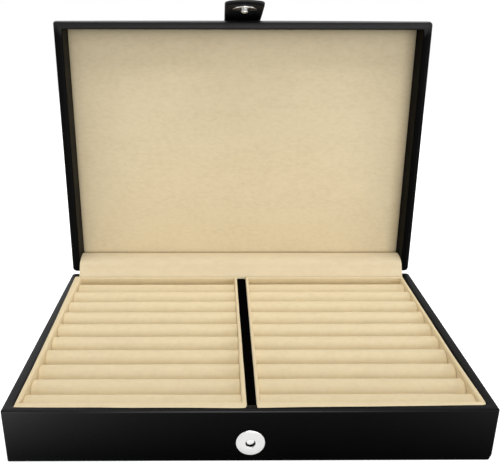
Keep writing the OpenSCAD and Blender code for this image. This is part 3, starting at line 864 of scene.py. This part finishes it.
def lid_panel():
    """The lid's padded suede panel: a closed pad, its face blown up by a cloth simulation."""
    lo, hi = PANEL_LO, PANEL_HI
    across, along = panel_stops(lo.x, hi.x), panel_stops(lo.y, hi.y)
    columns, rows = len(across), len(along)
    verts = [(x, y, z) for z in (lo.z, hi.z) for y in along for x in across]
    layer = columns * rows
    faces = []
    for base in (0, layer):
        for j in range(rows - 1):
            for i in range(columns - 1):
                a = base + j * columns + i
                faces.append((a, a + 1, a + columns + 1, a + columns))
    border = list(range(columns))
    border += [j * columns + columns - 1 for j in range(1, rows)]
    border += [(rows - 1) * columns + i for i in range(columns - 2, -1, -1)]
    border += [j * columns for j in range(rows - 2, 0, -1)]
    for a, b in zip(border, border[1:] + border[:1]):
        faces.append((a, b, b + layer, a + layer))
    piece = make_object("lid_panel_pad", verts, faces, 60)
    rest = [v.co.copy() for v in piece.data.vertices]
    blow_up(piece, sorted(set(border)) + list(range(layer, 2 * layer)))
    for start, v in zip(rest[:layer], piece.data.vertices):
        edge = min(start.x - lo.x, hi.x - start.x, start.y - lo.y, hi.y - start.y)
        shape = 1 - max(0.0, 1 - edge / PANEL_EDGE) ** 2
        rise = min(PANEL_CROWN * shape, max(0.0, start.z - v.co.z))
        unevenness = 0.12 * MM * waves(start, 30 * MM, 5) * shape
        v.co = Vector((start.x, start.y, start.z - rise + unevenness))
    for start, v in zip(rest[layer:], list(piece.data.vertices)[layer:]):
        v.co = start
    # Painted shade along the panel's borders, kept with each vertex.
    set_level(piece, "painted_border_shade", painted_border_shade_level)
    piece.data.transform(OPENED)
    finish_piece(piece, "lid", "panel_suede", "lid_panel_suede")


def blow_up(obj, pinned):
    """Runs Blender's cloth on a closed pad with air in it, without gravity, and applies the result."""
    obj.vertex_groups.new(name="pinned").add(pinned, 1.0, "REPLACE")
    modifier = obj.modifiers.new("cloth", "CLOTH")
    settings = modifier.settings
    settings.use_pressure = True
    settings.uniform_pressure_force = 4.0
    settings.effector_weights.gravity = 0.0
    settings.vertex_group_mass = "pinned"
    settings.tension_stiffness = settings.compression_stiffness = 30
    settings.bending_stiffness = 2.0
    modifier.point_cache.frame_start = 1
    modifier.point_cache.frame_end = CLOTH_FRAMES
    for number in range(1, CLOTH_FRAMES + 1):
        SCENE.frame_set(number)
    apply_modifiers(obj)
    SCENE.frame_set(1)


# ---- Hinge strip ----

STRIP_T = 0.8 * MM
STRIP_ACROSS = 96
STRIP_RIPPLES = [(0.35, 34, 9), (0.12, 11, 10)]  # height and size in mm, and seed
# The strip's curve above its straight foot, in mm behind the base's inner wall and above its rim.
STRIP_GUIDE = [
    (-0.45, -5), (-0.1, -1.4), (1.8, 1.2), (4.4, 5.0), (7.2, 9.2),
    (11.4, 11.4), (16.8, 12.4), (22.0, 12.6), (25.6, 11.6), (27.1, 9.6),
]


def smooth_path(points, steps):
    """A smooth curve through points in a plane, as a Catmull-Rom spline."""
    padded = [points[0]] + list(points) + [points[-1]]
    path = []
    for i in range(1, len(padded) - 2):
        p0, p1, p2, p3 = (Vector(p) for p in padded[i - 1:i + 3])
        for step in range(steps):
            t = step / steps
            path.append(
                0.5 * (2 * p1 + (p2 - p0) * t + (2 * p0 - 5 * p1 + 4 * p2 - p3) * t * t
                       + (3 * p1 - p0 - 3 * p2 + p3) * t ** 3)
            )
    path.append(Vector(points[-1]))
    return path


def hinge_strip():
    """The loose suede strip from behind the trays over the hinges to the foot of the panel."""
    lo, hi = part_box("hinge_strip")
    inner_y = HALF_D - WALL_T
    rim_z = BASE_HI.z
    guide = [(inner_y + y * MM, rim_z + z * MM) for y, z in STRIP_GUIDE]
    path = smooth_path([(guide[0][0], lo.z)] + guide, 6)
    lengths = list(accumulate(((b - a).length for a, b in zip(path, path[1:])), initial=0.0))
    total = lengths[-1]
    above, below = (list(zip(offset_path(path, side * STRIP_T / 2), lengths)) for side in (1, -1))
    rings = []
    for i in range(STRIP_ACROSS + 1):
        x = lo.x + (hi.x - lo.x) * i / STRIP_ACROSS
        ring = []
        for (y, z), length in above + below[::-1]:
            loose = sin(pi * min(1.0, max(0.0, (length / total - 0.2) / 0.8))) ** 2
            ripple = sum(h * MM * waves((x, y, z), size * MM, seed) for h, size, seed in STRIP_RIPPLES)
            ring.append((x, y + 0.4 * ripple * loose, z + ripple * loose))
        rings.append(ring)
    piece = loft("hinge_strip_cloth", rings, sharp=70)
    finish_piece(piece, None, "strip_suede", "hinge_strip")
    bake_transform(piece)


# ---- Strap and snap ----

ANCHOR_HI = shut_box("strap_anchor_outer")[1]
INNER_ANCHOR_LO, INNER_ANCHOR_HI = shut_box("strap_anchor_inner")
STRAP_T = ANCHOR_HI.z - INNER_ANCHOR_LO.z
STRAP_INNER_T = INNER_ANCHOR_HI.z - INNER_ANCHOR_LO.z
BEND = SHUT @ STRAP_BEND
ANCHOR_LEN = ANCHOR_HI.y + HALF_D
STRAP_HALF_W = ANCHOR_HI.x
STRAP_CORNER_R = 5.0 * MM
STRAP_BOW_R = 36.0 * MM
STRAP_BEND_R = 2.5 * MM  # of the leather's middle
STRAP_INNER_INSET = 0.25 * MM  # the inner leather is this much smaller all round
BOSS_R = 2.55 * MM
BOSS_DEPTH = 1.95 * MM  # of its face behind the mouth of the snap's hole
BOSS_CROWN = 0.05 * MM


def opened_way(y, z):
    """A direction on the shut box, as it points when the lid is open."""
    return (OPENED.to_3x3() @ Vector((0, y, z))).normalized()


def flap_angle():
    """How far the flap leans out from hanging straight down the shut box, as the CAD disc faces."""
    facing = Vector()
    for polygon in frame["nodes"]["snap_stud_plate"].data.polygons:
        normal = SHUT.to_3x3() @ polygon.normal
        if normal.y > 0.95:
            facing += normal * polygon.area
    return atan2(-facing.z, facing.y)


def flap_length():
    """From the bend to the tip of the CAD flap."""
    flap = [SHUT @ point for point in cad_points("strap_flap_outer")]
    return max((Vector((p.y, p.z)) - Vector((BEND.y, BEND.z))).length for p in flap)


def strap_outline(total, inset):
    """The flat strap from tip to tip as (x, s), with bowed ends and rounded corners, moved in by inset."""
    half_w = STRAP_HALF_W - inset
    corner_r = STRAP_CORNER_R - inset
    bow_r = STRAP_BOW_R - inset
    corner_x = half_w - corner_r
    corner_s = sqrt((bow_r - corner_r) ** 2 - corner_x ** 2)
    lean = degrees(atan2(corner_x, corner_s))
    bow_s = total - STRAP_BOW_R
    end = arc((corner_x, bow_s + corner_s), corner_r, 0, 90 - lean, 8)
    end += arc((0, bow_s), bow_r, 90 - lean, 90 + lean, 14)[1:-1]
    end += arc((-corner_x, bow_s + corner_s), corner_r, 90 + lean, 180, 8)
    return end + [(-x, total - s) for x, s in end]


def strap_layer(side, depth_lo, depth_hi, inset):
    """One leather of the strap: cut flat with soft edges, then laid on the lid, round the bend and out."""
    lean = flap_angle()
    flap = flap_length()
    turn = pi / 2 - lean
    tangent = STRAP_BEND_R * tan(turn / 2)
    anchor_s = ANCHOR_LEN + (-HALF_D - BEND.y) - tangent
    bend_s = STRAP_BEND_R * turn
    total = anchor_s + bend_s + flap - tangent
    edge = 0.45 * MM
    steps = [(edge, 0), (edge * 0.3, edge * 0.25), (0, edge)]
    thick = depth_hi - depth_lo
    rings = []
    for shrink, height in steps + [(s, thick - h) for s, h in reversed(steps)]:
        outline = strap_outline(total, inset + shrink)
        rings.append([(x, s, depth_lo + height) for x, s in outline])
    piece = loft(f"strap_{side}", rings, sharp=60)
    bm = bmesh.new()
    bm.from_mesh(piece.data)
    stations = [anchor_s + bend_s * i / 10 for i in range(11)]
    stations += [anchor_s * i / 8 for i in range(1, 8)]
    stations += [anchor_s + bend_s + (flap - tangent) * i / 22 for i in range(1, 22)]
    cuts = [((0, s, 0), (0, 1, 0)) for s in stations]
    cuts += [((STRAP_HALF_W * i / 4, 0, 0), (1, 0, 0)) for i in range(-3, 4)]
    for point, normal in cuts:
        every = bm.verts[:] + bm.edges[:] + bm.faces[:]
        bmesh.ops.bisect_plane(bm, geom=every, plane_co=point, plane_no=normal)
    bm.to_mesh(piece.data)
    bm.free()
    start = Vector((BEND.y + tangent, BEND.z))
    centre = start - Vector((0, STRAP_BEND_R))
    down = Vector((-sin(lean), -cos(lean)))
    out = Vector((-cos(lean), sin(lean)))

    def laid(p):
        x, s, depth = p
        if s < anchor_s:
            place = start + Vector((anchor_s - s, depth))
        elif s < anchor_s + bend_s:
            a = pi / 2 + (s - anchor_s) / STRAP_BEND_R
            place = centre + (STRAP_BEND_R + depth) * Vector((cos(a), sin(a)))
        else:
            along = s - anchor_s - bend_s
            share = along / (flap - tangent)
            curl = 0.9 * MM * max(0.0, (share - 0.86) / 0.14) ** 2
            sag = -0.35 * MM * sin(pi * min(1.0, share / 0.66))
            place = Vector((BEND.y, BEND.z)) + down * (tangent + along) + out * (depth + curl + sag)
        return Vector((x, place.x, place.y))

    move_verts(piece, laid)
    piece.data.transform(OPENED)
    shade(piece.data, 60)
    finish_piece(piece, None, f"strap_{side}_leather", f"strap_anchor_{side}", f"strap_flap_{side}")
    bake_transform(piece)


def strap():
    """The strap's two leathers, glued back to back."""
    split = STRAP_INNER_T - STRAP_T / 2
    strap_layer("outer", split, STRAP_T / 2, 0)
    strap_layer("inner", -STRAP_T / 2, split, STRAP_INNER_INSET)


def disc_place(node, pointing):
    """A flat round node's frame, at its back with local Z along pointing, its thickness and its radius."""
    points = cad_points(node)
    middle = sum(points, Vector()) / len(points)
    heights = [(p - middle).dot(pointing) for p in points]
    lo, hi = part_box(node)
    centre = Vector(((lo.x + hi.x) / 2, middle.y, middle.z))
    turn = pointing.to_track_quat("Z", "Y").to_matrix().to_4x4()
    place = Matrix.Translation(centre + pointing * min(heights)) @ turn
    return place, max(heights) - min(heights), (hi.x - lo.x) / 2


def snap_socket():
    """The snap's socket on the front: a pressed, domed cap with a rolled hole."""
    lo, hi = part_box("snap_socket_cap")
    radius = (hi.x - lo.x) / 2
    height = hi.y - lo.y
    place = facing_front(hi.y, lo, hi)
    hole_r, lip_r, sheet_t = mm(3.0, 0.5, 0.45)
    edge, rim_h = mm(0.35, 0.85)
    crown = [
        (hole_r + lip_r + (radius - edge - hole_r - lip_r) * t, height - (height - rim_h) * t ** 2.2)
        for t in (i / 10 for i in range(11))
    ]
    rim = arc((radius - edge, rim_h - edge), edge, 90, 0, 4)[1:]
    lip = arc((hole_r + lip_r, height - lip_r), lip_r, 180, 90, 5)[:-1]
    profile = [(hole_r, height - lip_r - sheet_t)] + lip + crown + rim + [(radius, 0.0)]
    profile += [(hole_r + 1.2 * MM, 0.0)]
    piece = lathe("snap_cap", profile, place, 72, True)
    finish_piece(piece, "base", "snap_nickel", "snap_socket_cap")


def snap_boss():
    """The plate behind the magnet, with the bright boss that shows in the snap's hole."""
    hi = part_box("snap_socket_back")[1]
    plate_lo, plate_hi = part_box("snap_magnet")
    radius = (plate_hi.x - plate_lo.x) / 2 - 0.1 * MM
    back_t = hi.y - plate_hi.y
    place = facing_front(hi.y, plate_lo, plate_hi)
    face = hi.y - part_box("snap_socket_cap")[0].y - BOSS_DEPTH
    soft = 0.15 * MM
    profile = [(0.02 * MM, 0), (radius, 0), (radius, back_t - 0.1 * MM), (BOSS_R, back_t - 0.1 * MM)]
    profile += arc((BOSS_R - soft, face - soft), soft, 0, 90, 4)
    shares = (0.85, 0.7, 0.5, 0.25, 0.01)
    profile += [(BOSS_R * share, face + BOSS_CROWN * (1 - share ** 2)) for share in shares]
    piece = lathe("snap_back", profile, place)
    finish_piece(piece, "base", "snap_steel", "snap_socket_back")


def snap_stud():
    """The snap's disc and stud under the strap."""
    lean = flap_angle()
    pointing = opened_way(cos(lean), -sin(lean))
    disc_at, disc_t, radius = disc_place("snap_stud_plate", pointing)
    edge = 0.3 * MM
    disc = [(1.2 * MM, 0), (radius, 0)] + arc((radius - edge, disc_t - edge - 0.1 * MM), edge, 0, 90, 4)
    disc += [(radius * t, disc_t - 0.1 * MM * t) for t in (0.8, 0.6, 0.4)] + [(1.2 * MM, disc_t)]
    plate = lathe("snap_disc", disc, disc_at, 72, True)
    finish_piece(plate, "strap", "snap_nickel", "snap_stud_plate")
    stud_at, stud_len, stud_r = disc_place("snap_stud", pointing)
    soft, neck = mm(0.7, 1.3)
    back = stud_len - 2.2 * MM
    profile = [(0.02 * MM, 0), (neck, 0), (neck, back), (stud_r - 0.3 * MM, back)]
    profile += [(stud_r - 0.15 * MM, back + 0.8 * MM)]
    profile += arc((stud_r - soft, stud_len - soft), soft, 0, 90, 6)
    profile += [(1.5 * MM, stud_len), (1.3 * MM, stud_len - 0.15 * MM), (1.0 * MM, stud_len - 0.6 * MM)]
    profile += [(0.02 * MM, stud_len - 0.65 * MM)]
    stud = lathe("snap_post", profile, stud_at)
    finish_piece(stud, "strap", "snap_nickel", "snap_stud")


# ---- CAD nodes that stay ----

def dress_cad_nodes():
    """Gives each CAD node that stays its material, by the last word of its name."""
    words = {
        "board": "board", "card": "card", "felt": "felt", "lining": "felt", "magnet": "magnet",
        "screws": "hinge_steel", "leaves": "hinge_steel", "pins": "hinge_steel",
        "back": "snap_steel", "washer": "snap_steel",
    }
    for name, obj in frame["nodes"].items():
        found = [slot for word, slot in words.items() if name.endswith(word)]
        if found and not obj.hide_render:
            obj.data.materials.clear()
            obj.data.materials.append(MATERIALS[found[0]])


# ---- Camera, light and floor ----

CAMERA_PLACE = Vector((-18.13, -440.26, 269.12)) * MM
CAMERA_PITCH, CAMERA_YAW, CAMERA_ROLL = (radians(a) for a in (21.819, 0.518, -0.132))
PHOTO_W, PHOTO_H = 500, 462
FOCAL_PX = 659.98
CENTRE_PX = (226.286, 259.842)
SENSOR = 36.0


def make_camera():
    """The camera at the photograph's place and framing."""
    data = bpy.data.cameras.new("camera")
    data.sensor_fit = "HORIZONTAL"
    data.sensor_width = SENSOR
    data.lens = SENSOR * FOCAL_PX / PHOTO_W
    data.shift_x = (PHOTO_W / 2 - CENTRE_PX[0]) / PHOTO_W
    data.shift_y = (CENTRE_PX[1] - PHOTO_H / 2) / PHOTO_W
    turn = Euler((pi / 2 - CAMERA_PITCH, 0, -CAMERA_YAW)).to_matrix().to_4x4()
    camera = add_object("camera", data)
    camera.matrix_world = Matrix.Translation(CAMERA_PLACE) @ turn @ Matrix.Rotation(-CAMERA_ROLL, 4, "Z")
    SCENE.camera = camera


def softbox(name, place, size, power):
    """A rectangular area light that faces the box."""
    data = bpy.data.lights.new(name, "AREA")
    data.shape = "RECTANGLE"
    data.size, data.size_y = size
    data.energy = power
    lamp = add_object(name, data)
    lamp.location = place
    lamp.rotation_mode = "QUATERNION"
    lamp.rotation_quaternion = (LIT_POINT - Vector(place)).to_track_quat("-Z", "Y")


def shows_background(tree):
    """An output that is 1 for camera, glossy and transmission rays."""
    path = add_node(tree, "LightPath")
    total = path.outputs["Is Camera Ray"]
    for name in ("Is Glossy Ray", "Is Transmission Ray"):
        either = add_node(tree, "Math", {0: total, 1: path.outputs[name]}, operation="MAXIMUM")
        total = either.outputs[0]
    return total


def make_world():
    """White to the camera and in reflections, and a plain soft light on the object."""
    world = bpy.data.worlds.new("world")
    world.use_nodes = True
    tree = world.node_tree
    backgrounds = [
        add_node(tree, "Background", (), {"Color": WHITE, "Strength": strength}).outputs[0]
        for strength in (WORLD_LIGHT, 1.0)
    ]
    mix = add_node(tree, "MixShader", enumerate([shows_background(tree), *backgrounds]))
    tree.links.new(mix.outputs[0], tree.nodes["World Output"].inputs["Surface"])
    SCENE.world = world


def make_floor():
    """A white floor that keeps a soft contact shadow."""
    corners = [(FLOOR_REACH * x, FLOOR_REACH * y, 0) for x, y in ((-1, -1), (1, -1), (1, 1), (-1, 1))]
    floor = make_object("floor", corners, [(0, 1, 2, 3)])
    looks = {"Base_Color": FLOOR_COLOUR, "Emission_Color": WHITE, "Specular_IOR_Level": 0.0}
    s = Shader("floor", Roughness=1.0, **looks)
    distance = s.node("VectorMath", {0: s.place}, operation="LENGTH").outputs["Value"]
    near, far = FLOOR_FADE
    ends = {"From Min": near, "From Max": far, "To Min": FLOOR_LIFT, "To Max": 1.0}
    lift = s.node("MapRange", {"Value": distance}, ends).outputs["Result"]
    s.link(s.math("MULTIPLY", shows_background(s.tree), lift), "Emission Strength")
    floor.data.materials.append(s.material)


# Name, place, size and power in watts of each softbox.
SOFTBOXES = [
    ("overhead", (0.0, -0.25, 1.25), (1.2, 0.5), 6.5),
    ("top", (0.0, 0.1, 1.15), (1.0, 0.4), 5.1),
    ("back_left", (-0.62, 1.15, 0.66), (0.6, 0.45), 1.0),
    ("back_right", (0.70, 1.15, 0.66), (0.6, 0.45), 0.5),
    ("right", (1.3, -0.1, 0.6), (0.8, 0.8), 5.2),
    ("left", (-1.3, -0.1, 0.6), (0.8, 0.8), 4.6),
    ("front_right", (0.7, -1.45, 0.34), (0.6, 0.4), 5.2),
    ("front_low", (0.05, -1.6, 0.10), (0.5, 0.16), 5.4),
    ("front_mid", (0.1, -1.5, 0.75), (0.6, 0.4), 1.0),
]
LIT_POINT = Vector((0, 0, 0.08))
WORLD_LIGHT = 0.03
WHITE = (1, 1, 1, 1)
FLOOR_COLOUR = (0.86, 0.86, 0.86, 1)
FLOOR_REACH = 1.6
FLOOR_LIFT = 0.7  # the floor's own brightness near the box, which still shows its shadow
FLOOR_FADE = (0.35, 0.8)  # distances between which that rises to white


# ---- The object ----

SCENE.view_settings.view_transform = "Standard"
make_camera()
make_world()
make_floor()
for lamp in SOFTBOXES:
    softbox(*lamp)

base_shell()
lid_shell()
divider()
for tray_seed, tray_side in enumerate(("left", "right")):
    tray(tray_side, 20 + 5 * tray_seed)
    for roll_number in range(1, 11):
        ring_roll(tray_side, roll_number, 40 + 20 * tray_seed + roll_number)
lid_panel()
hinge_strip()
strap()
snap_socket()
snap_boss()
snap_stud()
dress_cad_nodes()

bpy.context.view_layer.update()
